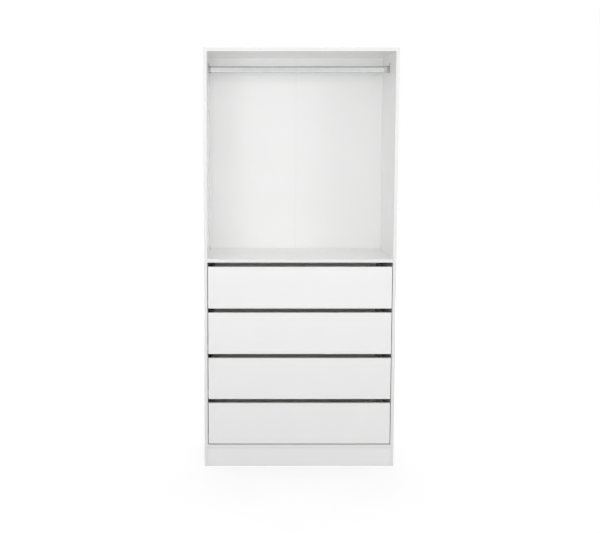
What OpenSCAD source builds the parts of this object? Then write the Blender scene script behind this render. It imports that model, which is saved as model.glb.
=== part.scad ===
// Wardrobe unit: an open hanging space with an oval rail, over four inset
// drawers without handles that run on steel roller runners.
// The origin is the middle of the footprint, on the floor.
// X runs to the right, Y to the back and Z up. Sizes are in millimetres.

/* [Carcass] */
// Overall width
unit_w = 900; // [700:10:1100]
// Overall height
unit_h = 1970; // [1700:10:2400]
// Overall depth
unit_d = 450; // [440:5:600]
// Thickness of the coated boards
board_t = 16; // [15:1:22]
// Radius of the edging along the visible edges
edge_r = 1; // [0.5:0.1:2]
// Height of the kickboard
kick_h = 88; // [70:1:150]
// Open joint over the kickboard
kick_joint = 0.4; // [0.2:0.1:1]
// Distance from the rear edges to the rear kick rail
rear_rail_inset = 20; // [0:1:60]

/* [Back] */
// Thickness of the back panels
back_t = 3; // [2.5:0.5:5]
// Distance from the rear edges to the back panels
back_inset = 12; // [8:1:20]
// Depth of the grooves for the back panels
groove_depth = 7; // [5:0.5:9]
// Play of a thin panel across its groove
groove_play = 0.2; // [0.1:0.1:0.5]
// Slack left behind the edge of a thin panel in its groove
edge_slack = 0.5; // [0.2:0.1:0.9]
// Width of the strip that joins the back panels
strip_w = 9; // [7:0.5:16]
// Wall of the strip that joins the back panels
strip_t = 0.8; // [0.6:0.1:1.2]

/* [Hanging rail] */
// Height of the oval rail's section
rail_h = 30; // [25:1:35]
// Width of the oval rail's section
rail_w = 15; // [12:0.5:18]
// Wall of the rail
rail_wall = 1; // [0.8:0.1:1.5]
// Distance from the front edges to the rail's axis
rail_setback = 205; // [160:5:260]
// Distance from the top panel's underside to the rail's axis
rail_drop = 71; // [60:1:110]
// Thickness of a rail support's plate
plate_t = 2.5; // [2:0.1:4]
// Margin of the plate round the cup
plate_rim = 2.7; // [2:0.1:5]
// Depth of the cup that holds the rail's end
cup_depth = 11; // [8:0.5:16]
// Wall of the cup
cup_wall = 1.6; // [1.2:0.1:2.5]
// Play between the rail and the cup
cup_play = 0.2; // [0.1:0.1:0.5]
// Height of the tab's screw above the rail's axis
tab_rise = 25; // [24:0.5:32]

/* [Drawers] */
// Number of drawers
drawer_count = 4; // [2:1:4]
// Height of a drawer front
front_h = 197.5; // [185:0.5:220]
// Finger gap above each drawer front
finger_gap = 20; // [16:1:30]
// Gap under the lowest front
bottom_gap = 5; // [3:1:12]
// Gap beside a drawer front
side_gap = 3; // [2:0.5:5]
// Length of a drawer's box
drawer_len = 400; // [350:10:410]
// Height of a drawer's sides
box_h = 150; // [120:5:165]
// Thickness of a drawer's sides and back
box_t = 12; // [12:1:16]
// Height of the box above the lower edge of its front
box_rise = 12.5; // [6:0.5:16]
// Thickness of a drawer's base
base_t = 3; // [3:0.5:5]
// Height of the base above the lower edge of the sides
base_rise = 10; // [10:0.5:16]
// Depth of the grooves for the base
base_groove = 6; // [4:0.5:7]

/* [Runners] */
// Space for the runners between a carcass side and a drawer side
runner_gap = 12.5; // [12.5:0.5:14]
// Thickness of the runners' steel
steel_t = 1.2; // [1:0.1:1.4]
// Outer radius of the runners' bends
bend_r = 2; // [1.6:0.1:2.5]
// Width of the cabinet runner's channel
channel_w = 10; // [9:0.5:10.5]
// Play of a roller in the height of the channel
channel_play = 1; // [0.8:0.1:1.5]
// Air over the drawer runner's flange inside the channel
flange_air = 0.5; // [0.4:0.1:0.8]
// Gap between the drawer runner's flange and the channel's web
flange_gap = 1; // [0.8:0.1:1.5]
// Width of the drawer runner's foot under the drawer side
foot_w = 15; // [13.5:0.5:20]
// Distance that a drawer pulls out
travel = 300; // [200:10:310]
// Diameter of the rollers
roller_d = 22; // [20:1:24]
// Width of the rollers
roller_w = 7; // [6:0.5:7.5]
// Diameter of the rivets that the rollers turn on
rivet_d = 4; // [3:0.5:6]
// Running clearance round a rivet
rivet_play = 0.06; // [0.03:0.01:0.1]
// Running clearance of a roller to its track
track_play = 0.3; // [0.2:0.1:0.4]
// Distance from the back of the fronts to the cabinet runners
runner_setback = 2; // [1:0.5:5]
// Distance from a runner's end to its roller's axis
roller_inset = 13; // [12.5:0.5:16]
// Distance from a runner's ends to its outer screws
screw_inset = 36; // [32:1:60]
// Radius of the bump that stops an open drawer
bump_r = 1; // [0.6:0.1:1]

/* [Fasteners] */
// Diameter of the cam locks
cam_d = 15; // [12:0.5:16]
// Depth of a cam lock below its bolt's axis
cam_below = 4.5; // [4:0.1:4.8]
// Distance from a board's end to the cam's axis
cam_in = 34; // [24:1:36]
// Distance from the front edges to the first cam
front_cam = 37; // [30:1:60]
// Distance from the rear edges to the last cam
rear_cam = 69; // [60:1:90]
// Height of a drawer's lower cams above its sides' lower edge
low_cam = 50; // [40:1:60]
// Distance from a drawer's upper cams to its sides' upper edge
high_cam = 30; // [20:1:40]
// Distance from a cam bolt to its dowel
dowel_pitch = 32; // [20:1:40]
// Diameter of the dowels
dowel_d = 8; // [6:0.5:8]
// Length of the dowels
dowel_l = 30; // [25:1:35]
// Part of a dowel that sits in the side panel
dowel_in = 10; // [8:0.5:11]
// Diameter of a cam bolt's thread
bolt_d = 5; // [4.5:0.1:6]
// Length of a cam bolt's thread
bolt_in = 11; // [8:0.5:11.5]
// Diameter of a cam bolt's head
bolt_head_d = 6.4; // [6:0.1:6.8]
// Air round a cam bolt's head in its bore
bolt_air = 0.4; // [0.2:0.1:0.5]
// Diameter of the screws
screw_d = 3.5; // [3:0.5:4]
// Diameter of the screws' heads
screw_head_d = 7; // [6:0.5:7]
// Length of the screws in the side panels
screw_l = 13; // [10:1:13]
// Length of the screws that hold the drawer runners
foot_screw_l = 9; // [6:0.5:9.5]
// Length of the screws that hold the drawer backs
back_screw_l = 35; // [28:1:45]
// Distance from the edges of a drawer's back to its screws
back_screw_in = 25; // [16:1:40]
// Radial play of the fasteners in their holes
fit_play = 0.1; // [0.05:0.05:0.3]
// Spare depth of the blind holes
hole_spare = 0.5; // [0.3:0.1:0.8]

/* [Hidden] */
drawers = [1:drawer_count];
drawer_parts = ["front", "left_side", "right_side", "back", "base", "runners", "rollers", "fasteners"];

// Finishes
coated = [0.93, 0.93, 0.92];
hardboard = [0.95, 0.95, 0.94];
plastic = [0.88, 0.88, 0.86];
chromed = [0.76, 0.77, 0.79];
zinc = [0.62, 0.63, 0.66];
enamel = [0.91, 0.91, 0.89];
nylon = [0.86, 0.85, 0.80];
beech = [0.80, 0.66, 0.46];

// Arcs: steps round a large circle and a small one
smooth = 64;
small = 32;

// Overrun of a cut past the face that it opens
over = 1;

// Planes of the carcass
front_y = -unit_d / 2;
rear_y = unit_d / 2;
inner_x = unit_w / 2 - board_t;
bottom_z = kick_h;
floor_z = bottom_z + board_t;
top_z = unit_h - board_t;
back_y = rear_y - back_inset - back_t;
rear_rail_y = rear_y - rear_rail_inset - board_t;
shelf_depth = unit_d - back_inset - back_t - strip_t - groove_play;

// Drawer bay: the first drawer is the highest one
bay_pitch = front_h + finger_gap;
shelf_z = floor_z + bottom_gap + drawer_count * bay_pitch;
front_w = 2 * (inner_x - side_gap);
box_x = inner_x - runner_gap;
box_y = front_y + board_t;
box_end = box_y + drawer_len;
function front_z(k) = shelf_z - k * bay_pitch;
function box_z(k) = front_z(k) + box_rise;

// Joints of the carcass, as [y, z] points on the inner face of a side panel
cam_ys = [front_y + front_cam, rear_y - rear_cam];
dowel_ys = [cam_ys[0] + dowel_pitch, cam_ys[1] - dowel_pitch];
rail_ys = [front_y + board_t / 2, rear_rail_y + board_t / 2];
kick_bolt_z = (kick_h + dowel_pitch) / 2;
kick_dowel_z = (kick_h - dowel_pitch) / 2;
board_zs = [bottom_z, shelf_z, top_z];
function board_bolts(z) = [for (y = cam_ys) [y, z + board_t / 2]];
function board_dowels(z) = [for (y = dowel_ys) [y, z + board_t / 2]];
bolt_points = concat([for (z = board_zs) each board_bolts(z)], [for (y = rail_ys) [y, kick_bolt_z]]);
dowel_points = concat([for (z = board_zs) each board_dowels(z)], [for (y = rail_ys) [y, kick_dowel_z]]);
bolt_bore_d = bolt_head_d + 2 * bolt_air;

// Fine shapes of the fasteners
cam_sink = 0.3;
cam_slot_l = 0.55 * cam_d;
cam_slot_w = 1.4;
cam_slot_depth = 2;
collar_t = 2;
shank_step = 0.8;
neck_step = 1.3;
neck_l = 4.4;
bolt_ball_l = 2;
tip_l = 2;
chamfer = 1;
pan_t = 1;
recess_w = 0.9;
flat_recess = 1.2;
pan_recess = 0.7;

// Hanging rail
rail_y = front_y + rail_setback;
rail_z = top_z - rail_drop;
cup_w = rail_w + 2 * (cup_play + cup_wall);
cup_h = rail_h + 2 * (cup_play + cup_wall);
plate_w = cup_w + 2 * plate_rim;
plate_low = cup_h / 2 + plate_rim;
plate_high = tab_rise + plate_rim + screw_head_d / 2;
cast_r = 1;
cup_round = 0.45 * cup_wall;

// Runners, from the channel's floor, which is level with the box's underside
channel_h = roller_d + channel_play;
flange_z = channel_h - flange_air - steel_t;
front_roller_z = flange_z - track_play - roller_d / 2;
rear_roller_z = track_play + roller_d / 2;
runner_y = box_y + runner_setback;
runner_end = runner_y + drawer_len;
stop_gap = 0.5;
front_roller_y = runner_y + roller_inset;
rear_roller_y = runner_end - steel_t - stop_gap - roller_d / 2;
bump_reach = sqrt(pow(roller_d / 2 + bump_r + track_play, 2) - pow(rear_roller_z, 2));
bump_y = rear_roller_y - travel - bump_reach;
roller_clear = roller_d / 2 + 2;
shoulder_t = 0.4;
roller_slip = 0.1;
roller_rim = 2.4;
roller_hub = 2;
roller_recess = 1.2;
roller_round = 0.6;
rivet_head_t = 0.6;
rivet_rim = 1.4;
rivet_l = shoulder_t + roller_w + 2 * roller_slip + rivet_head_t;
runner_screw_ys = [runner_y + screw_inset, (runner_y + runner_end) / 2, runner_end - screw_inset];
foot_screw_ys = [box_y + screw_inset, (box_y + box_end) / 2, box_end - screw_inset];
foot_screw_x = box_x - box_t / 2;
slot_len = 12;
slot_w = screw_d + 1;
side_low_r = bend_r - steel_t + 0.2;
drawer_cam_zs = [low_cam, box_h - high_cam];
back_screw_zs = [base_rise + base_t + back_screw_in, box_h - back_screw_in];

// Helpers

module both_sides() {
    children();
    mirror([1, 0, 0]) children();
}

// Rectangle whose chosen corners are rounded.
// rounds holds one flag for each corner: lower left, lower right, upper right, upper left.
module eased(size, rounds, r = edge_r) {
    corners = [[0, 0], [size[0], 0], size, [0, size[1]]];
    inward = [[1, 1], [-1, 1], [-1, -1], [1, -1]];
    difference() {
        square(size);
        for (i = [0:3]) if (rounds[i] == 1) translate(corners[i]) difference() {
            square(2 * r, center = true);
            translate(r * inward[i]) circle(r = r, $fn = small);
        }
    }
}

// Upright oval of two half circles and a straight middle
module oval(w, h) {
    square([w, h - w], center = true);
    for (s = [-1, 1]) translate([0, s * (h - w) / 2]) circle(d = w, $fn = smooth);
}

// Carries a profile round an upright oval: x outwards from the oval's middle line, y along Z
module round_oval(w, h) {
    for (turn = [0, 180]) rotate(turn) {
        translate([0, (h - w) / 2, 0]) rotate_extrude(angle = 180, $fn = smooth) children();
        rotate([90, 0, 0]) linear_extrude(h - w, center = true) children();
    }
}

// Carries an upright profile, x across and y up, along X
module along_x(length) rotate([90, 0, 90]) linear_extrude(length) children();

// Carries an upright profile, x across and y up, along Y
module along_y(length) translate([0, length, 0]) rotate([90, 0, 0]) linear_extrude(length) children();

// A frame at each [y, z] point on the right side panel's inner face.
// Its Z axis points into the board that ends there.
module at_joints(points) {
    for (p = points) translate([inner_x, p[0], p[1]]) rotate([0, -90, 0]) children();
}

// Frames for the cams of a cross board. Z points out of the face, X to the side panel.
module at_board_cams(face_z, up) {
    for (y = cam_ys) translate([inner_x - cam_in, y, face_z]) rotate([up ? 0 : 180, 0, 0]) children();
}

// Frames for the cam of an upright rail. Z points out of the face, X to the side panel.
module at_rail_cam(face_y, to_back) {
    translate([inner_x - cam_in, face_y, kick_bolt_z]) rotate([to_back ? -90 : 90, 0, 0]) children();
}

// Frames for a drawer side's front cams. Z points out of the side, X to the drawer front.
module at_drawer_cams(k) {
    for (z = drawer_cam_zs) translate([box_x, box_y + cam_in, box_z(k) + z]) rotate([-90, 0, -90]) children();
}

// Frames for a drawer's cam bolts. Z points from the front into the drawer side.
module at_drawer_bolts(k) {
    for (z = drawer_cam_zs) translate([box_x - box_t / 2, box_y, box_z(k) + z])
        rotate([-90, 0, 0]) children();
}

// Frames for the screws of a drawer's back. Z points out of the drawer side.
module at_back_screws(k) {
    for (z = back_screw_zs) translate([box_x, box_end - box_t / 2, box_z(k) + z])
        rotate([0, 90, 0]) children();
}

// Frames for the screws under a drawer side. Z points down, out of the runner's foot.
module at_foot_screws(k) {
    for (y = foot_screw_ys) translate([foot_screw_x, y, box_z(k) - steel_t]) rotate([180, 0, 0]) children();
}

// Frames for a cabinet runner's screws. Z points away from the side panel.
module at_runner_screws(k) {
    for (y = runner_screw_ys) translate([inner_x - steel_t, y, box_z(k) + channel_h / 2])
        rotate([0, -90, 0]) children();
}

// Frames for a rail support's screws. Z points away from the side panel.
module at_support_screws() {
    for (z = [0, tab_rise]) translate([inner_x - plate_t, rail_y, rail_z + z]) rotate([0, -90, 0]) children();
}

// Fasteners, each with z = 0 at the plane that it passes

// Blind hole from z = 0 down to -depth
module blind_hole(d, depth) {
    translate([0, 0, -depth]) cylinder(d = d, h = depth + over, $fn = small);
}

// Bore from a board's end, from z = 0 up to depth
module end_bore(d, depth) {
    translate([0, 0, -over]) cylinder(d = d, h = depth + over, $fn = small);
}

module cam_pocket(thick) {
    depth = thick / 2 + cam_below;
    translate([0, 0, -depth]) cylinder(d = cam_d + 2 * fit_play, h = depth + over, $fn = small);
}

// Cam lock with its cross slot and the mouth that takes the bolt's head
module cam_lock(thick) {
    depth = thick / 2 + cam_below;
    difference() {
        translate([0, 0, -depth]) cylinder(d = cam_d, h = depth - cam_sink, $fn = small);
        translate([-over, 0, -thick / 2]) rotate([0, 90, 0])
            cylinder(d = bolt_bore_d, h = cam_d, $fn = small);
        for (a = [45, 135]) translate([0, 0, -cam_sink]) rotate(a)
            cube([cam_slot_l, cam_slot_w, 2 * cam_slot_depth], center = true);
    }
}

// Cam bolt: thread below z = 0, collar, shank, neck and head above
module cam_bolt() {
    thread_r = bolt_d / 2;
    head_r = bolt_head_d / 2;
    shank_r = head_r - shank_step;
    neck_r = head_r - neck_step;
    ball_z = cam_in - bolt_ball_l;
    neck_z = ball_z - neck_l;
    rotate_extrude($fn = small) polygon([
        [0, -bolt_in], [thread_r - chamfer, -bolt_in], [thread_r, chamfer - bolt_in], [thread_r, 0],
        [head_r, 0], [head_r, collar_t], [shank_r, collar_t], [shank_r, neck_z - chamfer], [neck_r, neck_z],
        [neck_r, ball_z - chamfer], [head_r, ball_z], [head_r, cam_in - chamfer], [head_r - chamfer, cam_in],
        [0, cam_in]
    ]);
}

// Dowel with chamfered ends
module dowel() {
    r = dowel_d / 2;
    low = -dowel_in;
    high = dowel_l - dowel_in;
    rotate_extrude($fn = small) polygon([
        [0, low], [r - chamfer, low], [r, low + chamfer], [r, high - chamfer], [r - chamfer, high], [0, high]
    ]);
}

// Cross recess for the driver, sunk into a screw's head from its top
module driver_recess(top, depth) {
    for (a = [0, 90]) translate([0, 0, top]) rotate(a)
        cube([screw_head_d / 2, recess_w, 2 * depth], center = true);
}

// Screw with a flat head that is flush at z = 0 and points down
module flat_screw(length) {
    r = screw_d / 2;
    head_r = screw_head_d / 2;
    difference() {
        rotate_extrude($fn = small) polygon([
            [0, 0], [head_r, 0], [r, r - head_r], [r, tip_l - length], [0, -length]
        ]);
        driver_recess(0, flat_recess);
    }
}

module flat_screw_hole(length) {
    r = screw_d / 2 + fit_play;
    head_r = screw_head_d / 2 + fit_play;
    end = -length - hole_spare;
    rotate_extrude($fn = small) polygon([
        [0, over], [head_r, over], [head_r, 0], [r, r - head_r], [r, end], [0, end]
    ]);
}

// Screw with a low rounded head that is seated at z = 0 and points down
module pan_screw(length) {
    r = screw_d / 2;
    head_r = screw_head_d / 2;
    difference() {
        rotate_extrude($fn = small) polygon([
            [0, pan_t], [head_r - chamfer, pan_t], [head_r, pan_t / 2], [head_r, 0], [r, 0],
            [r, tip_l - length], [0, -length]
        ]);
        driver_recess(pan_t, pan_recess);
    }
}

// Carcass

// The right side panel, with its groove and its blind holes
module side_panel() {
    difference() {
        translate([inner_x, front_y, 0]) linear_extrude(unit_h) eased([board_t, unit_d], [1, 1, 0, 0]);
        translate([inner_x - over, back_y - groove_play / 2, -over])
            cube([groove_depth + over, back_t + groove_play, unit_h + 2 * over]);
        at_joints(bolt_points) blind_hole(bolt_d + 2 * fit_play, bolt_in + hole_spare);
        at_joints(dowel_points) blind_hole(dowel_d + 2 * fit_play, dowel_in + hole_spare);
        for (k = drawers) at_runner_screws(k) blind_hole(screw_d + 2 * fit_play, screw_l + hole_spare);
        at_support_screws() blind_hole(screw_d + 2 * fit_play, screw_l + hole_spare);
    }
}

module side_panel_left() color(coated) mirror([1, 0, 0]) side_panel();
module side_panel_right() color(coated) side_panel();

// Board between the side panels, bored at both ends
module cross_board(depth, z) {
    difference() {
        translate([-inner_x, front_y, z]) along_x(2 * inner_x) eased([depth, board_t], [1, 0, 0, 1]);
        both_sides() {
            at_joints(board_bolts(z)) end_bore(bolt_bore_d, cam_in);
            at_joints(board_dowels(z)) end_bore(dowel_d + 2 * fit_play, dowel_l - dowel_in + hole_spare);
        }
    }
}

// Groove for the back panels, cut up or down from the height z
module back_groove(z, up) {
    translate([-inner_x - over, back_y - groove_play / 2, up ? z - over : z - groove_depth])
        cube([2 * (inner_x + over), back_t + groove_play, groove_depth + over]);
}

module top_panel() color(coated) difference() {
    cross_board(unit_d, top_z);
    both_sides() at_board_cams(unit_h, true) cam_pocket(board_t);
    back_groove(top_z, true);
}

module fixed_shelf() color(coated) difference() {
    cross_board(shelf_depth, shelf_z);
    both_sides() at_board_cams(shelf_z, false) cam_pocket(board_t);
}

module bottom_panel() color(coated) difference() {
    cross_board(unit_d, bottom_z);
    both_sides() at_board_cams(bottom_z, false) cam_pocket(board_t);
    back_groove(floor_z, false);
}

// Upright rail between the side panels, under the bottom panel
module kick_rail(y, high, rounds) {
    difference() {
        translate([-inner_x, y, 0]) along_x(2 * inner_x) eased([board_t, high], rounds);
        both_sides() {
            at_joints([[y + board_t / 2, kick_bolt_z]]) end_bore(bolt_bore_d, cam_in);
            at_joints([[y + board_t / 2, kick_dowel_z]])
                end_bore(dowel_d + 2 * fit_play, dowel_l - dowel_in + hole_spare);
        }
    }
}

module kickboard() color(coated) difference() {
    kick_rail(front_y, kick_h - kick_joint, [1, 0, 0, 1]);
    both_sides() at_rail_cam(front_y + board_t, true) cam_pocket(board_t);
}

module rear_kick_rail() color(coated) difference() {
    kick_rail(rear_rail_y, kick_h, [0, 0, 0, 0]);
    both_sides() at_rail_cam(rear_rail_y, false) cam_pocket(board_t);
}

// The right half of the back, from the side panel's groove to the joining strip
module back_panel() {
    edge_x = strip_t / 2 + groove_play;
    low_z = floor_z - groove_depth;
    reach = groove_depth - edge_slack;
    translate([edge_x, back_y, low_z]) cube([inner_x + reach - edge_x, back_t, top_z + reach - low_z]);
}

module back_panel_left() color(hardboard) mirror([1, 0, 0]) back_panel();
module back_panel_right() color(hardboard) back_panel();

// Strip of H section that holds the two back panels edge to edge
module back_joining_strip() color(plastic) translate([0, 0, floor_z]) linear_extrude(top_z - floor_z) {
    translate([-strip_t / 2, back_y - strip_t]) square([strip_t, back_t + 2 * strip_t]);
    for (y = [back_y - strip_t, back_y + back_t]) translate([-strip_w / 2, y]) square([strip_w, strip_t]);
}

// Hanging rail

module hanging_rail() {
    length = 2 * (inner_x - plate_t - edge_slack);
    color(chromed) translate([-length / 2, rail_y, rail_z]) along_x(length) difference() {
        oval(rail_w, rail_h);
        oval(rail_w - 2 * rail_wall, rail_h - 2 * rail_wall);
    }
}

// Frame on the right support's front plane. Z points into the side panel, Y up.
module at_support(x, z) translate([x, rail_y, z]) rotate([90, 0, 90]) children();

// The right support: a plate with a screw tab, and the cup for the rail's end, cast with soft edges
module rail_support() {
    difference() {
        at_support(inner_x - plate_t, rail_z + (plate_high - plate_low) / 2)
            round_oval(plate_w, plate_low + plate_high) eased([plate_w / 2, plate_t], [0, 1, 0, 0], cast_r);
        at_support_screws() flat_screw_hole(plate_t);
    }
    at_support(inner_x - plate_t - cup_depth, rail_z) round_oval(cup_w, cup_h) {
        translate([cup_w / 2 - cup_wall, 0]) eased([cup_wall, cup_depth], [1, 1, 0, 0], cup_round);
        translate([cup_w / 2, cup_depth - cast_r]) difference() {
            square(cast_r);
            translate([cast_r, 0]) circle(r = cast_r, $fn = small);
        }
    }
}

module rail_support_left() color(chromed) mirror([1, 0, 0]) rail_support();
module rail_support_right() color(chromed) rail_support();
module rail_support_screws() color(zinc) both_sides() at_support_screws() flat_screw(screw_l);

// Fasteners of the carcass

module cam_locks() color(zinc) both_sides() {
    at_board_cams(unit_h, true) cam_lock(board_t);
    at_board_cams(shelf_z, false) cam_lock(board_t);
    at_board_cams(bottom_z, false) cam_lock(board_t);
    at_rail_cam(front_y + board_t, true) cam_lock(board_t);
    at_rail_cam(rear_rail_y, false) cam_lock(board_t);
}

module cam_bolts() color(zinc) both_sides() at_joints(bolt_points) cam_bolt();
module dowels() color(beech) both_sides() at_joints(dowel_points) dowel();
module runner_screws() color(zinc) both_sides() for (k = drawers) at_runner_screws(k) pan_screw(screw_l);

// Drawer boxes

// Groove for the base, across the box and into the front and both sides
module base_slot(k) {
    half_w = box_x - box_t + base_groove;
    translate([-half_w, box_y - base_groove, box_z(k) + base_rise])
        cube([2 * half_w, drawer_len + base_groove + over, base_t + groove_play]);
}

module drawer_front(k) color(coated) difference() {
    translate([-front_w / 2, front_y, front_z(k)]) intersection() {
        linear_extrude(front_h) eased([front_w, board_t], [1, 1, 0, 0]);
        along_x(front_w) eased([board_t, front_h], [1, 0, 0, 1]);
    }
    base_slot(k);
    both_sides() at_drawer_bolts(k) blind_hole(bolt_d + 2 * fit_play, bolt_in + hole_spare);
}

// The right side of a drawer, with a rounded upper edge, and a lower one that clears the runner's bend
module drawer_side(k) {
    difference() {
        translate([box_x - box_t, box_y, box_z(k)]) along_y(drawer_len) intersection() {
            eased([box_t, box_h], [0, 0, 1, 1]);
            eased([box_t, box_h], [0, 1, 0, 0], side_low_r);
        }
        base_slot(k);
        at_drawer_cams(k) cam_pocket(box_t);
        at_drawer_bolts(k) end_bore(bolt_bore_d, cam_in);
        at_back_screws(k) flat_screw_hole(back_screw_l);
        at_foot_screws(k) blind_hole(screw_d + 2 * fit_play, foot_screw_l + hole_spare);
    }
}

module drawer_left_side(k) color(coated) mirror([1, 0, 0]) drawer_side(k);
module drawer_right_side(k) color(coated) drawer_side(k);

module drawer_back(k) {
    half_w = box_x - box_t;
    low = base_rise + base_t;
    color(coated) difference() {
        translate([-half_w, box_end - box_t, box_z(k) + low]) along_x(2 * half_w)
            eased([box_t, box_h - low], [0, 0, 1, 1]);
        both_sides() at_back_screws(k) blind_hole(screw_d + 2 * fit_play, back_screw_l + hole_spare);
    }
}

module drawer_base(k) {
    half_w = box_x - box_t + base_groove - edge_slack;
    low_y = box_y - base_groove + edge_slack;
    color(hardboard) translate([-half_w, low_y, box_z(k) + base_rise])
        cube([2 * half_w, box_end - low_y, base_t]);
}

module drawer_fasteners(k) color(zinc) both_sides() {
    at_drawer_cams(k) cam_lock(box_t);
    at_drawer_bolts(k) cam_bolt();
    at_back_screws(k) flat_screw(back_screw_l);
    at_foot_screws(k) pan_screw(foot_screw_l);
}

// Roller runners

// Rivet that a roller turns on, from a web at z = 0
module rivet() {
    r = rivet_d / 2;
    head_z = rivet_l - rivet_head_t;
    rim_r = r + rivet_rim;
    rotate_extrude($fn = small) polygon([
        [0, -steel_t / 2], [rim_r, -steel_t / 2], [rim_r, shoulder_t], [r, shoulder_t],
        [r, head_z], [rim_r, head_z], [rim_r - rivet_head_t / 2, rivet_l], [0, rivet_l]
    ]);
}

// Nylon roller with a recessed face and a rounded tread, from a web at z = 0
module roller() {
    low = shoulder_t + roller_slip;
    high = low + roller_w;
    bore = rivet_d / 2 + rivet_play;
    r = roller_d / 2;
    rim_r = r - roller_rim;
    hub_r = bore + roller_hub;
    bed = high - roller_recess;
    rotate_extrude($fn = smooth) polygon([
        [bore, low], [r - roller_round, low], [r, low + roller_round], [r, high - roller_round],
        [r - roller_round, high], [rim_r, high], [rim_r - roller_round, bed], [hub_r + roller_round, bed],
        [hub_r, high], [bore, high]
    ]);
}

// Frame on the cabinet runner's web for the front roller. Z points to the drawer.
module at_front_roller(k) {
    translate([inner_x - steel_t, front_roller_y, box_z(k) + front_roller_z]) rotate([0, -90, 0]) children();
}

// Frame on the drawer runner's web for the rear roller. Z points to the carcass side.
module at_rear_roller(k) {
    translate([box_x + steel_t, rear_roller_y, box_z(k) + rear_roller_z]) rotate([0, 90, 0]) children();
}

// Section of the cabinet runner: a channel that is open to the left, its web at x = 0
module channel_section() {
    outer_h = channel_h + 2 * steel_t;
    translate([-channel_w, -steel_t]) difference() {
        eased([channel_w, outer_h], [0, 1, 1, 0], bend_r);
        translate([-over, steel_t])
            eased([channel_w - steel_t + over, channel_h], [0, 1, 1, 0], bend_r - steel_t);
    }
}

// The right cabinet runner: channel, rear stop, bump, roller rivet and holes
module cabinet_runner(k) {
    translate([inner_x, 0, box_z(k)]) difference() {
        union() {
            translate([0, runner_y, 0]) along_y(drawer_len) channel_section();
            translate([-channel_w, runner_end - steel_t, -steel_t / 2])
                cube([channel_w - steel_t / 2, steel_t, channel_h + steel_t]);
            translate([-channel_w, bump_y, 0]) rotate([0, 90, 0])
                cylinder(r = bump_r, h = channel_w - bend_r, $fn = small);
        }
        translate([-channel_w - over, runner_y - over, -steel_t - over])
            cube([channel_w - steel_t + over, roller_inset + roller_clear + over, steel_t + 2 * over]);
        for (i = [0, 1]) {
            slot_y = (runner_screw_ys[i] + runner_screw_ys[i + 1] - slot_len) / 2;
            for (y = [slot_y, slot_y + slot_len]) translate([-steel_t - over, y, channel_h / 2])
                rotate([0, 90, 0]) cylinder(d = slot_w, h = steel_t + 2 * over, $fn = small);
            translate([-steel_t - over, slot_y, (channel_h - slot_w) / 2])
                cube([steel_t + 2 * over, slot_len, slot_w]);
        }
        for (y = runner_screw_ys) translate([-steel_t - over, y, channel_h / 2])
            rotate([0, 90, 0]) cylinder(d = slot_w, h = steel_t + 2 * over, $fn = small);
    }
    at_front_roller(k) rivet();
}

module cabinet_runners(k) color(enamel) both_sides() cabinet_runner(k);

// Section of the drawer runner, its web's outer face at x = 0: flange to the right, foot to the left
module drawer_runner_section() {
    flange_w = runner_gap - steel_t - flange_gap;
    top = flange_z + steel_t;
    difference() {
        translate([-foot_w, -steel_t]) eased([foot_w, top], [0, 1, 0, 0], bend_r);
        translate([-foot_w - over, 0]) eased([foot_w + over - steel_t, top], [0, 1, 0, 0], bend_r - steel_t);
    }
    difference() {
        translate([-steel_t, bend_r]) eased([flange_w, top - bend_r], [0, 0, 0, 1], bend_r);
        eased([flange_w, top - steel_t], [0, 0, 0, 1], bend_r - steel_t);
    }
}

// The right drawer runner: Z section with its flange cut away over the rear roller
module drawer_runner(k) {
    flange_end = rear_roller_y - roller_clear;
    translate([box_x, 0, box_z(k)]) difference() {
        translate([steel_t, box_y, 0]) along_y(drawer_len) drawer_runner_section();
        translate([steel_t, flange_end, flange_z - bend_r])
            cube([runner_gap, box_end - flange_end + over, steel_t + 2 * bend_r]);
        for (y = foot_screw_ys) translate([foot_screw_x - box_x, y, -steel_t - over])
            cylinder(d = slot_w, h = steel_t + 2 * over, $fn = small);
    }
    at_rear_roller(k) rivet();
}

module drawer_runners(k) color(enamel) both_sides() drawer_runner(k);
module drawer_rollers(k) color(nylon) both_sides() at_rear_roller(k) roller();
module cabinet_rollers(k) color(nylon) both_sides() at_front_roller(k) roller();

// The parts

side_panel_left();
side_panel_right();
top_panel();
fixed_shelf();
bottom_panel();
kickboard();
rear_kick_rail();
back_panel_left();
back_panel_right();
back_joining_strip();
hanging_rail();
rail_support_left();
rail_support_right();
rail_support_screws();
cam_locks();
cam_bolts();
dowels();
runner_screws();
for (k = drawers) {
    drawer_front(k);
    drawer_left_side(k);
    drawer_right_side(k);
    drawer_back(k);
    drawer_base(k);
    drawer_runners(k);
    drawer_rollers(k);
    drawer_fasteners(k);
    cabinet_runners(k);
    cabinet_rollers(k);
}
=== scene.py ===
"""Looks of a white flat-pack wardrobe unit: a hanging space with an oval rail over four inset
drawers that run on roller runners."""

import math

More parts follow.
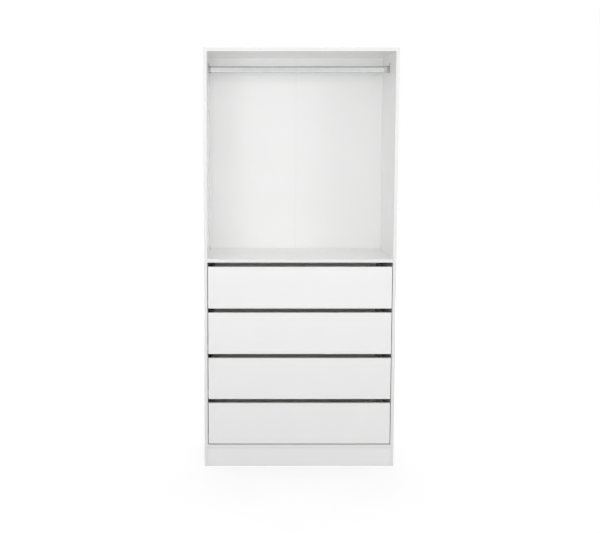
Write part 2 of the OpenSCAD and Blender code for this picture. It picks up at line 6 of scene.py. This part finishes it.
import bpy
import numpy as np
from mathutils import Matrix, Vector


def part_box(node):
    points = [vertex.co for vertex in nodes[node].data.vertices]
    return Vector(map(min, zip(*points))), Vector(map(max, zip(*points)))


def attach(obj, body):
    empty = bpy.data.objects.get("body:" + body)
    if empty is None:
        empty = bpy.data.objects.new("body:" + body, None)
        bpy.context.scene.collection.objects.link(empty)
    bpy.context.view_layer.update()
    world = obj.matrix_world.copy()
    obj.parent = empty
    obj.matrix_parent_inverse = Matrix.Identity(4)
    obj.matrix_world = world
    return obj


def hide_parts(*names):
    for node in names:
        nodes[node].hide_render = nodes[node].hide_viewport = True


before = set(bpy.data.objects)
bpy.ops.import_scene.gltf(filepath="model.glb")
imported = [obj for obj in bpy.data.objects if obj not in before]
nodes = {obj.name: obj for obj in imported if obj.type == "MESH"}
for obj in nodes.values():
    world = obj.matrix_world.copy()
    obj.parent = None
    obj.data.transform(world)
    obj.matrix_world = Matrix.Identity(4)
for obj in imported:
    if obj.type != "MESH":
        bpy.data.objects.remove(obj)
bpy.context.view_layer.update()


# Side panels: 16 mm particle board with white melamine on both faces and 1 mm of plastic
# edging along the front and the top. They are grooved for the back and bored for bolts,
# dowels and screws; the rear edge stays bare board.

def new_material(name):
    """Material with one principled shader. Returns the material, its node tree and the shader."""
    material = bpy.data.materials.new(name)
    material.use_nodes = True
    tree = material.node_tree
    return material, tree, tree.nodes["Principled BSDF"]


def put(tree, value, socket):
    """Links value to socket if it is a socket itself, or sets it there as a constant."""
    if isinstance(value, bpy.types.NodeSocket):
        tree.links.new(value, socket)
    else:
        socket.default_value = value


def calc(tree, operation, *values):
    """One step of arithmetic on numbers or sockets."""
    step = tree.nodes.new("ShaderNodeMath")
    step.operation = operation
    for value, socket in zip(values, step.inputs):
        put(tree, value, socket)
    return step.outputs[0]


def blobs(tree, place, size, detail=2.0):
    """Soft noise around 0.5 whose blobs are about size metres wide."""
    noise = tree.nodes.new("ShaderNodeTexNoise")
    noise.inputs["Scale"].default_value = 1.0 / size
    noise.inputs["Detail"].default_value = detail
    put(tree, place, noise.inputs["Vector"])
    return noise.outputs["Fac"]


def drawn_out(tree, place, sizes):
    """Place counted in steps of sizes along X, Y and Z, which draws out a pattern of size 1."""
    scaled = tree.nodes.new("ShaderNodeMapping")
    scaled.inputs["Scale"].default_value = [1.0 / size for size in sizes]
    put(tree, place, scaled.inputs["Vector"])
    return scaled.outputs["Vector"]


def shades(tree, factor, *stops):
    """Colour that runs through the stops, each a position from 0 to 1 and a colour."""
    ramp = tree.nodes.new("ShaderNodeValToRGB")
    elements = ramp.color_ramp.elements
    for number, (position, colour) in enumerate(stops):
        stop = elements[number] if number < 2 else elements.new(position)
        stop.position, stop.color = position, (*colour, 1.0)
    put(tree, factor, ramp.inputs["Fac"])
    return ramp.outputs["Color"]


def toned(tree, noise, dark, light):
    """Colour that runs from dark to light over the middle of a noise."""
    return shades(tree, noise, (0.3, dark), (0.7, light))


def painted_over(tree, mask, under, over):
    """Colour under where mask is 0, over where it is 1."""
    mix = tree.nodes.new("ShaderNodeMix")
    mix.data_type = "RGBA"
    put(tree, mask, mix.inputs["Factor"])
    for colour, socket in ((under, mix.inputs[6]), (over, mix.inputs[7])):
        put(tree, colour if isinstance(colour, bpy.types.NodeSocket) else (*colour, 1.0), socket)
    return mix.outputs[2]


def between(tree, mask, low, high):
    """Number low where mask is 0, high where it is 1."""
    return calc(tree, "MULTIPLY_ADD", mask, high - low, low)


def surface_spot(tree):
    """Place on the piece in metres, its three numbers, and the three of the way it looks."""
    spot = tree.nodes.new("ShaderNodeTexCoord")
    along, looks = (tree.nodes.new("ShaderNodeSeparateXYZ") for _ in range(2))
    put(tree, spot.outputs["Object"], along.inputs[0])
    put(tree, spot.outputs["Normal"], looks.inputs[0])
    return spot.outputs["Object"], along.outputs, looks.outputs


def relief(tree, shader, height):
    """Bends the surface as a height in metres says."""
    bump = tree.nodes.new("ShaderNodeBump")
    bump.inputs["Distance"].default_value = 1.0
    put(tree, height, bump.inputs["Height"])
    tree.links.new(bump.outputs["Normal"], shader.inputs["Normal"])


def dress(node, material):
    """Gives a CAD node its material."""
    data = nodes[node].data
    data.materials.clear()
    data.materials.append(material)


def dimmed(colour, share):
    """Colour times share."""
    return tuple(channel * share for channel in colour)


melamine_white = (0.925, 0.925, 0.923)
edging_white = (0.86, 0.86, 0.857)
glue_grey = (0.58, 0.56, 0.53)
chip_tones = ((0.0, (0.20, 0.11, 0.05)), (0.45, (0.44, 0.29, 0.16)), (1.0, (0.68, 0.52, 0.33)))
edging_t = 0.001
glue_line_t, glue_line_depth = 0.00012, 0.00003
chip_l, chip_t, chip_depth = 0.0032, 0.0008, 0.00018
peel_size, peel_depth = 0.0007, 0.000012
drift_size, drift_shade = 0.17, 0.985
melamine_rough, edging_rough, chips_rough = 0.19, 0.26, 0.88
smear_size, smear_rough = 0.03, 0.05
towards_bare = 0.9
faces = {"-x": (0, -1), "+x": (0, 1), "-y": (1, -1), "+y": (1, 1), "-z": (2, -1), "+z": (2, 1)}


def coated_board(node, edged, bare):
    """Dresses a board by its own box: edged sides carry edging, bare sides show the chips.

    The depth under a side is the distance to that plane of the box. Edging reaches as deep as
    its thickness, with a glue line under it. Chips show where the surface looks to a bare side.
    """
    low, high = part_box(node)
    material, tree, shader = new_material(f"{node}_finish")
    place, along, looks = surface_spot(tree)
    edging, glue, chips = 0.0, 0.0, 0.0
    for axis, sign in (faces[side] for side in edged):
        plane = high[axis] if sign > 0 else -low[axis]
        depth = calc(tree, "MULTIPLY_ADD", along[axis], -sign, plane)
        edging = calc(tree, "MAXIMUM", edging, calc(tree, "LESS_THAN", depth, edging_t))
        at_glue = calc(tree, "COMPARE", depth, edging_t, glue_line_t / 2)
        glue = calc(tree, "MAXIMUM", glue, at_glue)
    for axis, sign in (faces[side] for side in bare):
        towards = calc(tree, "MULTIPLY", looks[axis], sign)
        chips = calc(tree, "MAXIMUM", chips, calc(tree, "GREATER_THAN", towards, towards_bare))
    thin = min(range(3), key=lambda axis: high[axis] - low[axis])
    cells = tree.nodes.new("ShaderNodeTexVoronoi")
    cells.inputs["Scale"].default_value = 1.0
    chip_size = [chip_t if axis == thin else chip_l for axis in range(3)]
    put(tree, drawn_out(tree, place, chip_size), cells.inputs["Vector"])
    drift = blobs(tree, place, drift_size, detail=3.0)
    coat = toned(tree, drift, dimmed(melamine_white, drift_shade), melamine_white)
    coat = painted_over(tree, edging, coat, edging_white)
    coat = painted_over(tree, glue, coat, glue_grey)
    chip_colour = shades(tree, cells.outputs["Color"], *chip_tones)
    put(tree, painted_over(tree, chips, coat, chip_colour), shader.inputs["Base Color"])
    rough = between(tree, edging, melamine_rough, edging_rough)
    rough = calc(tree, "MULTIPLY_ADD", blobs(tree, place, smear_size), smear_rough, rough)
    rough = calc(tree, "MAXIMUM", rough, calc(tree, "MULTIPLY", chips, chips_rough))
    put(tree, rough, shader.inputs["Roughness"])
    peel = calc(tree, "MULTIPLY", blobs(tree, place, peel_size), peel_depth)
    peel = calc(tree, "MULTIPLY_ADD", glue, -glue_line_depth, peel)
    pits = calc(tree, "MULTIPLY", cells.outputs["Distance"], chip_depth)
    relief(tree, shader, calc(tree, "MULTIPLY_ADD", pits, chips, peel))
    dress(node, material)


for side in ("left", "right"):
    coated_board(f"side_panel_{side}", edged=("-y", "+z"), bare=("+y", "-z"))


# Top panel, fixed shelf and bottom panel: the same board, edged along the front only. Each is
# pulled between the side panels with cam bolts and kept in line by beech dowels.

for node in ("top_panel", "fixed_shelf", "bottom_panel"):
    coated_board(node, edged=("-y",), bare=("+y", "-x", "+x"))


# Kickboard and rear kick rail: upright rails under the bottom panel. The kickboard's long
# edges are edged, and the rear rail is cut from plain board.

coated_board("kickboard", edged=("-z", "+z"), bare=("-x", "+x"))
coated_board("rear_kick_rail", edged=(), bare=("-z", "+z", "-x", "+x"))


# Back: two panels of 3 mm hardboard, coated white on the face and brown with the print of the
# press screen behind. They slide into the grooves.

hardboard_white = (0.89, 0.89, 0.888)
hardboard_brown = ((0.285, 0.166, 0.085), (0.35, 0.212, 0.112))
screen_pitch, screen_depth = 0.0016, 0.00005
fibre_sizes = (0.005, 0.005, 0.002)
cloud_size, cloud_share = 0.12, 0.8
paint_size, paint_shade = 0.2, 0.988
paint_peel_size, paint_peel_depth = 0.0009, 0.00001
coat_rough, bare_rough = 0.44, 0.62
wipe_size, wipe_rough = 0.04, 0.06


def thin_panel(node, coated):
    """Dresses a hardboard panel whose coated side, such as "-y", is white, and the rest brown.

    The screen's print is the product of two sine waves along the panel's two long axes.
    """
    axis, sign = faces[coated]
    material, tree, shader = new_material(f"{node}_finish")
    place, along, looks = surface_spot(tree)
    coat = calc(tree, "GREATER_THAN", calc(tree, "MULTIPLY", looks[axis], sign), 0.5)
    turn_per_metre = 2 * math.pi / screen_pitch
    waves = [
        calc(tree, "SINE", calc(tree, "MULTIPLY", along[other], turn_per_metre))
        for other in range(3) if other != axis
    ]
    screen_print = calc(tree, "MULTIPLY", *waves)
    fibres = blobs(tree, drawn_out(tree, place, fibre_sizes), 1.0, detail=4.0)
    clouds = calc(tree, "SUBTRACT", blobs(tree, place, cloud_size, detail=3.0), 0.5)
    pressed = calc(tree, "MULTIPLY_ADD", clouds, cloud_share, fibres)
    brown = toned(tree, pressed, *hardboard_brown)
    paint = blobs(tree, place, paint_size, detail=3.0)
    white = toned(tree, paint, dimmed(hardboard_white, paint_shade), hardboard_white)
    put(tree, painted_over(tree, coat, brown, white), shader.inputs["Base Color"])
    rough = between(tree, coat, bare_rough, coat_rough)
    rough = calc(tree, "MULTIPLY_ADD", blobs(tree, place, wipe_size), wipe_rough, rough)
    put(tree, rough, shader.inputs["Roughness"])
    peel = calc(tree, "MULTIPLY", blobs(tree, place, paint_peel_size), paint_peel_depth)
    printed = calc(tree, "MULTIPLY", screen_print, between(tree, coat, screen_depth, 0.0))
    relief(tree, shader, calc(tree, "ADD", peel, printed))
    dress(node, material)


for side in ("left", "right"):
    thin_panel(f"back_panel_{side}", coated="-y")


# Joining strip: white plastic of H section, drawn through a die, that grips the two back
# panels edge to edge.

def even_finish(name, tones, blob, rough, bump, depth, detail=3.0, bump_detail=2.0, metallic=0.0):
    """Material whose colour and roughness follow one soft noise, and its relief another.

    tones are its darker and its lighter colour, and rough the roughness that goes with each.
    blob and bump are the sizes of the noises' blobs along X, Y and Z, and depth is the
    relief's depth, all in metres.
    """
    material, tree, shader = new_material(name)
    place = tree.nodes.new("ShaderNodeTexCoord").outputs["Object"]
    noise, ridges = (
        blobs(tree, drawn_out(tree, place, sizes), 1.0, fine)
        for sizes, fine in ((blob, detail), (bump, bump_detail))
    )
    put(tree, toned(tree, noise, *tones), shader.inputs["Base Color"])
    shader.inputs["Metallic"].default_value = metallic
    put(tree, between(tree, noise, *rough), shader.inputs["Roughness"])
    relief(tree, shader, calc(tree, "MULTIPLY", ridges, depth))
    return material


strip_white = (0.876, 0.876, 0.873)
die_lines = (0.0004, 0.0004, 0.3)
strip_plastic = even_finish(
    "strip_plastic", tones=(dimmed(strip_white, 0.98), strip_white), blob=die_lines, detail=2.0,
    rough=(0.36, 0.46), bump=die_lines, depth=0.00001)
dress("back_joining_strip", strip_plastic)


# Hanging rail and its supports: oval steel tube and two castings, all with polished chrome
# plate. The castings' plate is rougher, and its colour is darker, partly for a duller plate and
# partly as painted shade at the ends of the rail. The rail drops into the cups, and two screws
# hold each support.

haze = (0.02, 0.02, 0.02)
draw_marks = (0.08, 0.004, 0.004)
chrome_tube = even_finish(
    "chrome_tube", tones=((0.63, 0.633, 0.638), (0.67, 0.673, 0.677)), blob=haze, detail=4.0,
    rough=(0.08, 0.12), bump=draw_marks, depth=0.000002, metallic=1.0)
# The castings' chrome is darker than the tube's: partly a duller plate, partly painted shade for
# the dark ends of the rail.
chrome_castings_painted_shade = even_finish(
    "chrome_castings_painted_shade", tones=((0.41, 0.413, 0.417), (0.49, 0.493, 0.497)), blob=haze,
    detail=4.0, rough=(0.14, 0.18), bump=draw_marks, depth=0.000002, metallic=1.0)
dress("hanging_rail", chrome_tube)
for side in ("left", "right"):
    dress(f"rail_support_{side}", chrome_castings_painted_shade)


# Fasteners: cam locks, cam bolts and screws of steel with bright zinc plate, and dowels
# turned from beech.

zinc = even_finish(
    "zinc_plate", tones=((0.53, 0.54, 0.57), (0.66, 0.67, 0.68)), blob=(0.004, 0.004, 0.004),
    detail=4.0, rough=(0.2, 0.45), bump=(0.0005, 0.0005, 0.0005), depth=0.000008, metallic=1.0)
beech_grain = (0.02, 0.0008, 0.0008)
beech = even_finish(
    "beech_wood", tones=((0.42, 0.26, 0.14), (0.66, 0.47, 0.29)), blob=beech_grain, detail=4.0,
    rough=(0.5, 0.7), bump=beech_grain, bump_detail=4.0, depth=0.00008)
drawers = (1, 2, 3, 4)
for node in ("rail_support_screws", "cam_locks", "cam_bolts", "runner_screws"):
    dress(node, zinc)
for k in drawers:
    dress(f"drawer_{k}_fasteners", zinc)
dress("dowels", beech)


# Threads and flutes: the screws and cam bolts are headed from wire and get rolled threads and
# a tapered cross recess, and the dowels are fluted so that air and glue can escape. Each
# stands in for its plain CAD node, at the same places.

grid_side = 8
columns = 4 * (grid_side - 1)
first_column = 0.375
rows_per_pitch = 7
sharp_angle = 50
recess_arm, recess_half, recess_slope = 1.75, 0.45, 0.03
wire_pitch, long_pitch, bolt_pitch = 1.4, 2.0, 2.0
screw_r, screw_head_r, screw_tip, screw_neck = 1.75, 3.5, 2.0, 0.2
bolt_l = 34.0
pan_sink, flat_sink = 0.7, 1.2
thread_cut, bolt_thread_cut, flute_cut = 0.34, 0.3, 0.25


def top_face(rim, sink):
    """Square grid of grid_side lines bent to a disc of radius rim, with a tapered cross in it.

    Bending: x = u * sqrt(1 - v^2 / 2) and y = v * sqrt(1 - u^2 / 2). The cross is where the
    smaller of |u| and |v| is within its half width. It is deepest in the middle and runs out
    at the ends of its arms. Its sides slope over recess_slope of the disc's radius.
    """
    arm, half = recess_arm / rim, recess_half / rim
    foot = half + recess_slope
    lines = np.array([-1.0, -arm, -foot, -half, half, foot, arm, 1.0])
    u, v = np.meshgrid(lines, lines)
    near, far = np.minimum(abs(u), abs(v)), np.maximum(abs(u), abs(v))
    sunk = sink * np.clip((arm - far) / (arm - half), 0.0, 1.0) * (near < half + recess_slope / 2)
    bent = [rim * u * np.sqrt(1 - v * v / 2), rim * v * np.sqrt(1 - u * u / 2), -sunk]
    return np.stack(bent, axis=2).reshape(-1, 3)


def turned(rows, sink=0.0, thread=None, flute=0.0):
    """Points, quads and closing triangles of a part turned about Z, in millimetres.

    rows are radius and height of its rings, from the rim of the top face down to the point
    that closes the foot. thread is its top, pitch and share: below top a radius is cut by
    share * (1 - cos(2 pi (height / pitch - angle / turn))) / 2, which rises to the right and
    fades in over one pitch. flute cuts every second column by that much.
    """
    face = top_face(rows[0][0], sink) + (0.0, 0.0, rows[0][1])
    radius, height = np.array(rows[1:-1]).T[:, :, None]
    share_of_turn = np.arange(columns) / columns
    angle = 2 * np.pi * (share_of_turn - first_column)
    radius = radius - flute * (np.arange(columns) % 2)
    if thread:
        top, pitch, share = thread
        wave = (1 - np.cos(2 * np.pi * (height / pitch - share_of_turn))) / 2
        radius = radius * (1 - share * wave * np.clip((top - height) / pitch, 0.0, 1.0))
    rings = np.broadcast_arrays(radius * np.cos(angle), radius * np.sin(angle), height)
    rings = np.stack(rings, axis=2).reshape(-1, 3)
    points = np.concatenate([face, rings, [(0.0, 0.0, rows[-1][1])]])
    grid = np.arange(len(face)).reshape(grid_side, grid_side)
    edge = np.concatenate([grid[0, :-1], grid[:-1, -1], grid[-1, :0:-1], grid[:0:-1, 0]])
    loops = np.vstack([edge, len(face) + np.arange(len(rings)).reshape(-1, columns)])
    beside = np.roll(loops, -1, axis=1)
    patch = np.stack([grid[:-1, :-1], grid[:-1, 1:], grid[1:, 1:], grid[1:, :-1]], axis=2)
    wall = np.stack([loops[:-1], loops[1:], beside[1:], beside[:-1]], axis=2)
    quads = np.concatenate([patch.reshape(-1, 4), wall.reshape(-1, 4)])
    pole = np.full(columns, len(points) - 1)
    return points, quads, np.stack([loops[-1], pole, beside[-1]], axis=1)


def down(radius, top, foot, pitch):
    """Rows of one radius from top to foot, rows_per_pitch to a pitch."""
    count = max(2, int(round(rows_per_pitch * (top - foot) / pitch)) + 1)
    return [(radius, height) for height in np.linspace(top, foot, count)]


def threaded_shaft(start, length, pitch):
    """Rows of a screw's shaft from height start, whose tip runs out to a point at -length."""
    tip = [(screw_r * share, screw_tip * share - length) for share in (0.75, 0.5, 0.25, 0.08)]
    return down(screw_r, start, screw_tip - length, pitch) + tip + [(0.0, -length)]


def pan_screw(length):
    """Screw with a low head whose underside is at height 0."""
    head = [(2.5, 1.0), (screw_head_r, 0.5), (screw_head_r, 0.0), (screw_r, 0.0)]
    shaft = threaded_shaft(-screw_neck, length, wire_pitch)
    return turned(head + shaft, sink=pan_sink, thread=(-0.3, wire_pitch, thread_cut))


def flat_screw(length, pitch):
    """Screw with a countersunk head whose top is at height 0."""
    underside = screw_r - screw_head_r
    head = [(screw_head_r, 0.0), (screw_r, underside)]
    shaft = threaded_shaft(underside - screw_neck, length, pitch)
    return turned(head + shaft, sink=flat_sink, thread=(-2.2, pitch, thread_cut))


# From the head that the cam lock grips, down neck and shank, to the collar that seats on the
# panel at height 0 and the thread in its bore. A dowel sits 10 mm deep in the panel.
cam_bolt = turned([
    (2.2, bolt_l), (3.2, 33.0), (3.2, 32.0), (1.9, 31.0), (1.9, 27.6), (2.4, 26.6), (2.4, 2.0),
    (3.2, 2.0), (3.2, 0.0), (2.5, 0.0), *down(2.5, -0.2, -10.0, bolt_pitch), (1.5, -11.0),
    (0.0, -11.0)], thread=(-0.2, bolt_pitch, bolt_thread_cut))
dowel = turned(
    [(3.0, 20.0), (4.0, 19.0), (4.0, -9.0), (3.0, -10.0), (0.0, -10.0)], flute=flute_cut)


def both_sides(part, x, spots, axis):
    """Copies of part at x on the right, with Z along axis, and mirrored places on the left."""
    return [
        (part, (side * x, *spot), (side * axis[0], *axis[1:]))
        for side in (1, -1) for spot in spots
    ]


def stands_in(node, name, body, copies, material):
    """One piece from copies, each a part, its place in millimetres and the way its Z looks.

    A point goes to its place plus x, y and z times the ways that the part's own X, Y and Z
    look, and from millimetres to metres.
    """
    points, polygons, count = [], [], 0
    for (part_points, quads, triangles), place, axis in copies:
        z_way = np.array(axis, dtype=float)
        x_way = np.roll(z_way, 1)
        ways = np.array([x_way, np.cross(z_way, x_way), z_way])
        points.append((part_points @ ways + place) / 1000.0)
        polygons += (quads + count).tolist() + (triangles + count).tolist()
        count += len(part_points)
    mesh = bpy.data.meshes.new(name)
    mesh.from_pydata(np.concatenate(points).tolist(), [], polygons)
    mesh.materials.append(material)
    mesh.shade_smooth()
    mesh.set_sharp_from_angle(angle=math.radians(sharp_angle))
    piece = bpy.data.objects.new(name, mesh)
    bpy.context.scene.collection.objects.link(piece)
    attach(piece, body)
    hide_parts(node)


def box_mm(node):
    """Low and high corner of a node's box in millimetres, rounded to a micrometre."""
    return np.round(1000.0 * np.array(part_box(node)), 3)


inwards, backwards, downwards, outwards = (-1, 0, 0), (0, 1, 0), (0, 0, -1), (1, 0, 0)
runner_t, support_t = 1.2, 2.5
panel_x = box_mm("side_panel_right")[0, 0]
box_heights = {k: box_mm(f"drawer_{k}_right_side")[0, 2] for k in drawers}
board_heights = [
    box_mm(node)[:, 2].mean() for node in ("bottom_panel", "fixed_shelf", "top_panel")]
kick_ys = [box_mm(node)[:, 1].mean() for node in ("kickboard", "rear_kick_rail")]
_, rail_y, rail_z = box_mm("hanging_rail").mean(axis=0)
runner_ys, bolt_ys, dowel_ys = (-171, -7, 157), (-188, 156), (-156, 124)
runner_rise, support_rise, kick_bolt_z, kick_dowel_z = 11.5, 25, 60, 28
runner_spots = [(y, box_heights[k] + runner_rise) for k in drawers for y in runner_ys]
support_spots = [(rail_y, rail_z), (rail_y, rail_z + support_rise)]
bolt_spots = [(y, z) for z in board_heights for y in bolt_ys]
bolt_spots += [(y, kick_bolt_z) for y in kick_ys]
dowel_spots = [(y, z) for z in board_heights for y in dowel_ys]
dowel_spots += [(y, kick_dowel_z) for y in kick_ys]
for node, name, copies, material, slot in (
    ("runner_screws", "threaded_runner_screws",
     both_sides(pan_screw(length=13), panel_x - runner_t, runner_spots, inwards),
     zinc, "zinc_plate"),
    ("rail_support_screws", "threaded_rail_screws",
     both_sides(flat_screw(13, wire_pitch), panel_x - support_t, support_spots, inwards),
     zinc, "zinc_plate"),
    ("cam_bolts", "threaded_cam_bolts",
     both_sides(cam_bolt, panel_x, bolt_spots, inwards), zinc, "zinc_plate"),
    ("dowels", "fluted_dowels",
     both_sides(dowel, panel_x, dowel_spots, inwards), beech, "beech_dowel"),
):
    stands_in(node, name, "carcass", copies, material)

side_in, side_out = box_mm("drawer_1_right_side")[:, 0]
side_middle = (side_in + side_out) / 2
front_y = box_mm("drawer_1_front")[1, 1]
back_y = box_mm("drawer_1_back")[:, 1].mean()
lock_r, bolt_r = 7.7, 3.25
bolt_levels, back_levels, foot_ys = (50, 120), (38, 125), (-173, -9, 155)


def drawer_locks(k):
    """The cam locks of a drawer as the CAD has them, in one skin, without the bolts in them.

    Kept are the triangles within lock_r of a lock's own axis, along X, that reach further
    than bolt_r from the axis of its bolt, along Y.
    """
    data = nodes[f"drawer_{k}_fasteners"].data
    place, order = np.empty(3 * len(data.vertices)), np.empty(len(data.loops), dtype=int)
    data.vertices.foreach_get("co", place)
    data.loops.foreach_get("vertex_index", order)
    corners = 1000.0 * place.reshape(-1, 3)[order].reshape(-1, 3, 3)
    x, y, z = np.moveaxis(corners, 2, 0)
    off_level = np.minimum(*(abs(z - box_heights[k] - level) for level in bolt_levels))
    in_lock = np.hypot(y - front_y - bolt_l, off_level).max(axis=1) < lock_r
    off_bolt = np.hypot(abs(x) - side_middle, off_level).max(axis=1) > bolt_r
    kept = corners[in_lock & off_bolt].reshape(-1, 3).round(4)
    points, triangles = np.unique(kept, axis=0, return_inverse=True)
    return points, np.empty((0, 4), dtype=int), triangles.reshape(-1, 3)


for k in drawers:
    low = box_heights[k]
    bolts = both_sides(
        cam_bolt, side_middle, [(front_y, low + level) for level in bolt_levels], backwards)
    back_screws = both_sides(
        flat_screw(35, long_pitch), side_out, [(back_y, low + level) for level in back_levels],
        outwards)
    foot_screws = both_sides(
        pan_screw(length=9), side_middle, [(y, low - runner_t) for y in foot_ys], downwards)
    locks = [(drawer_locks(k), (0, 0, 0), (0, 0, 1))]
    stands_in(f"drawer_{k}_fasteners", f"drawer_{k}_threaded_fasteners", f"drawer_{k}",
              locks + bolts + back_screws + foot_screws, zinc)


# Drawer boxes: inset fronts of 16 mm board edged all round, sides and back of 12 mm board
# with a rounded upper edge, and a hardboard base that slides into grooves.

for k in drawers:
    coated_board(f"drawer_{k}_front", edged=("-x", "+x", "-z", "+z"), bare=())
    for side in ("left", "right"):
        coated_board(f"drawer_{k}_{side}_side", edged=("+z",), bare=("-y", "+y", "-z"))
    coated_board(f"drawer_{k}_back", edged=("+z",), bare=("-x", "+x", "-z"))
    thin_panel(f"drawer_{k}_base", coated="+z")


# Runners: rolled steel with a white epoxy coat, screwed to the side panels and under the
# drawer sides, and moulded nylon rollers that turn on rivets.

enamel_white = (0.86, 0.86, 0.85)
nylon_white = (0.80, 0.785, 0.73)
enamel = even_finish(
    "white_enamel", tones=(dimmed(enamel_white, 0.97), enamel_white), blob=(0.05, 0.05, 0.05),
    rough=(0.22, 0.32), bump=(0.0015, 0.0015, 0.0015), depth=0.00003)
nylon = even_finish(
    "roller_nylon", tones=(dimmed(nylon_white, 0.94), nylon_white), blob=(0.006, 0.006, 0.006),
    rough=(0.34, 0.46), bump=(0.0006, 0.0006, 0.0006), depth=0.00001)
for k in drawers:
    dress(f"drawer_{k}_runners", enamel)
    dress(f"drawer_{k}_rollers", nylon)
    dress(f"cabinet_runners_{k}", enamel)
    dress(f"cabinet_rollers_{k}", nylon)


# Floor and light: a pale floor that shows white to the camera and keeps a soft shadow, a
# white surround, and large soft lamps in front. The floor's glow rises from 2 m off, where
# the lamps no longer reach it.

def seen_directly(tree):
    """1 for camera, mirror and glass rays, 0 for the light that surfaces pass on."""
    path = tree.nodes.new("ShaderNodeLightPath")
    either = calc(tree, "MAXIMUM", path.outputs["Is Camera Ray"], path.outputs["Is Glossy Ray"])
    return calc(tree, "MAXIMUM", either, path.outputs["Is Transmission Ray"])


def white_glow(tree, kind, strength):
    """Node of that kind that glows white."""
    glow = tree.nodes.new(kind)
    glow.inputs["Color"].default_value = (1.0, 1.0, 1.0, 1.0)
    put(tree, strength, glow.inputs["Strength"])
    return glow


def split_by_ray(tree, lit, shown, out):
    """Sends shown to out for the rays that see it directly, and lit for the others."""
    choice = tree.nodes.new("ShaderNodeMixShader")
    sources = (seen_directly(tree), lit.outputs[0], shown.outputs[0])
    for source, socket in zip(sources, choice.inputs):
        tree.links.new(source, socket)
    tree.links.new(choice.outputs[0], out.inputs["Surface"])


surround_strength = 0.385
world = bpy.data.worlds.new("surround")
bpy.context.scene.world = world
world.use_nodes = True
tree = world.node_tree
tree.nodes.clear()
lit = white_glow(tree, "ShaderNodeBackground", surround_strength)
shown = white_glow(tree, "ShaderNodeBackground", 1.0)
split_by_ray(tree, lit, shown, tree.nodes.new("ShaderNodeOutputWorld"))

floor_reach = 14.0
glow_reach, glow_strength = (2.0, 4.0), (0.55, 0.86)
corners = [
    (x * floor_reach, y * floor_reach, 0.0) for x, y in ((-1, -1), (1, -1), (1, 1), (-1, 1))]
floor_mesh = bpy.data.meshes.new("floor")
floor_mesh.from_pydata(corners, [], [(0, 1, 2, 3)])
floor = bpy.data.objects.new("floor", floor_mesh)
bpy.context.scene.collection.objects.link(floor)
floor_paint, tree, shader = new_material("floor_paint")
shader.inputs["Base Color"].default_value = (0.5, 0.5, 0.5, 1.0)
shader.inputs["Roughness"].default_value = 0.9
shader.inputs["Specular IOR Level"].default_value = 0.0
from_middle = tree.nodes.new("ShaderNodeVectorMath")
from_middle.operation = "LENGTH"
tree.links.new(tree.nodes.new("ShaderNodeTexCoord").outputs["Object"], from_middle.inputs[0])
far_off = tree.nodes.new("ShaderNodeMapRange")
for socket, value in zip(("From Min", "From Max"), glow_reach):
    far_off.inputs[socket].default_value = value
for socket, value in zip(("To Min", "To Max"), glow_strength):
    far_off.inputs[socket].default_value = value
tree.links.new(from_middle.outputs["Value"], far_off.inputs["Value"])
glow = white_glow(tree, "ShaderNodeEmission", far_off.outputs["Result"])
joined = tree.nodes.new("ShaderNodeAddShader")
tree.links.new(shader.outputs[0], joined.inputs[0])
tree.links.new(glow.outputs[0], joined.inputs[1])
split_by_ray(tree, shader, joined, tree.nodes["Material Output"])
floor_mesh.materials.append(floor_paint)


def soft_lamp(name, place, aim, width, height, power):
    """Area lamp at place that faces aim and that neither the camera nor the chrome shows."""
    data = bpy.data.lights.new(name, "AREA")
    data.shape = "RECTANGLE"
    data.size, data.size_y, data.energy = width, height, power
    lamp = bpy.data.objects.new(name, data)
    lamp.location = place
    lamp.rotation_euler = (Vector(aim) - Vector(place)).to_track_quat("-Z", "Y").to_euler()
    lamp.visible_camera = False
    lamp.visible_glossy = False
    bpy.context.scene.collection.objects.link(lamp)


middle = (0.0, 0.0, 1.2)
soft_lamp("high_left", (-3.0, -2.8, 3.2), middle, 3.0, 2.4, 18.0)
soft_lamp("high_right", (3.0, -2.8, 3.2), middle, 3.0, 2.4, 9.0)
soft_lamp("front_left", (-2.2, -5.5, 1.7), middle, 1.5, 2.0, 32.0)
soft_lamp("front_middle", (-0.3, -5.2, 1.7), middle, 1.0, 0.6, 39.0)
soft_lamp("side_right", (3.2, -3.8, 1.9), middle, 1.6, 1.8, 30.0)
soft_lamp("near_fill", (0.0, -2.0, 1.9), (0.0, 0.0, 1.7), 2.4, 0.8, 10.0)
soft_lamp("left_fill", (-4.8, 2.0, 1.8), middle, 2.0, 2.5, 70.0)
soft_lamp("right_fill", (4.8, 2.0, 1.8), middle, 2.0, 2.5, 70.0)
soft_lamp("rear_fill", (0.0, 5.0, 2.2), middle, 3.0, 2.0, 60.0)
soft_lamp("overhead", (0.0, 1.4, 4.6), middle, 3.0, 2.0, 50.0)


# Camera: at eye height and a little left of the middle, tilted down by six degrees, with the
# picture shifted so that the unit stands where the photograph has it.

tilt = 5.982
lens_data = bpy.data.cameras.new("camera")
lens_data.lens = 58.74
lens_data.sensor_width = 36.0
lens_data.shift_x, lens_data.shift_y = 0.0953, -0.06
camera = bpy.data.objects.new("camera", lens_data)
camera.location = (-0.268, -4.758, 1.605)
camera.rotation_euler = (math.radians(90 - tilt), 0.0, 0.0)
bpy.context.scene.collection.objects.link(camera)
bpy.context.scene.camera = camera
bpy.context.scene.view_settings.view_transform = "Standard"
